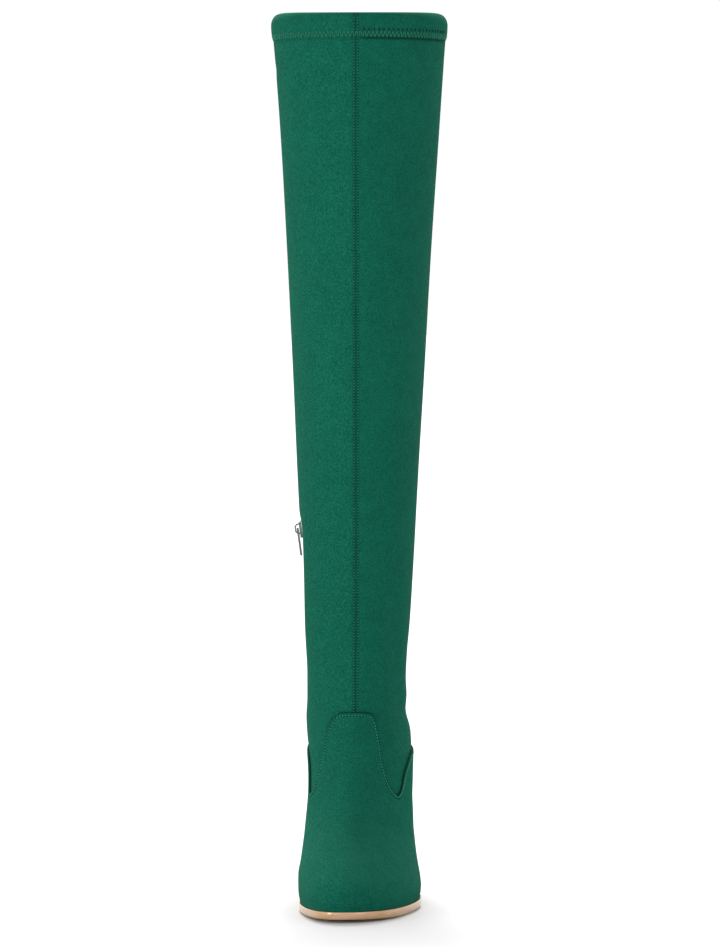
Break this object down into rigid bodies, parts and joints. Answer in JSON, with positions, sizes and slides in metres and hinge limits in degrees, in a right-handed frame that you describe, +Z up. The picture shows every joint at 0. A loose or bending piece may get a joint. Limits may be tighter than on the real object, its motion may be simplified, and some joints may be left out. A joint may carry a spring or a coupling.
{
  "type": "thigh high boot",
  "caption": "Thigh-high stretch boot with a pointed throat line, thin sole, covered block heel and an inner ankle zip.",
  "frame": {"origin": "middle of the heel's ground face", "axes": "-Y towards the toe, +Z up along the leg, -X the inner side of the leg"},
  "size_m": [0.1247, 0.2651, 0.6202],
  "materials": {
    "suede": "napped stretch faux suede, dark green",
    "heel_cover": "napped faux suede over a plastic heel",
    "tan_sole": "satin tan sole unit",
    "heel_rubber": "matt",
    "sock": "sock over board",
    "zip_tape": "woven tape with a nylon coil",
    "nickel": "nickel plated die casting"
  },
  "bodies": {
    "boot": {"outsole": "tan_sole", "heel_block": "heel_cover", "heel_tip": "heel_rubber", "insole": "sock", "upper": "suede", "shaft": "suede", "zip_chain": "zip_tape", "zip_slider": "nickel"},
    "pull_tab": {"zip_pull": "nickel"}
  },
  "joints": [
    {"name": "pull_swing", "type": "hinge", "parent": "boot", "child": "pull_tab", "pos_m": [-0.04292, 0.00309, 0.25512], "axis": [0.0251, 0.9997, 0.0035], "range_deg": [0, 150]}
  ]
}
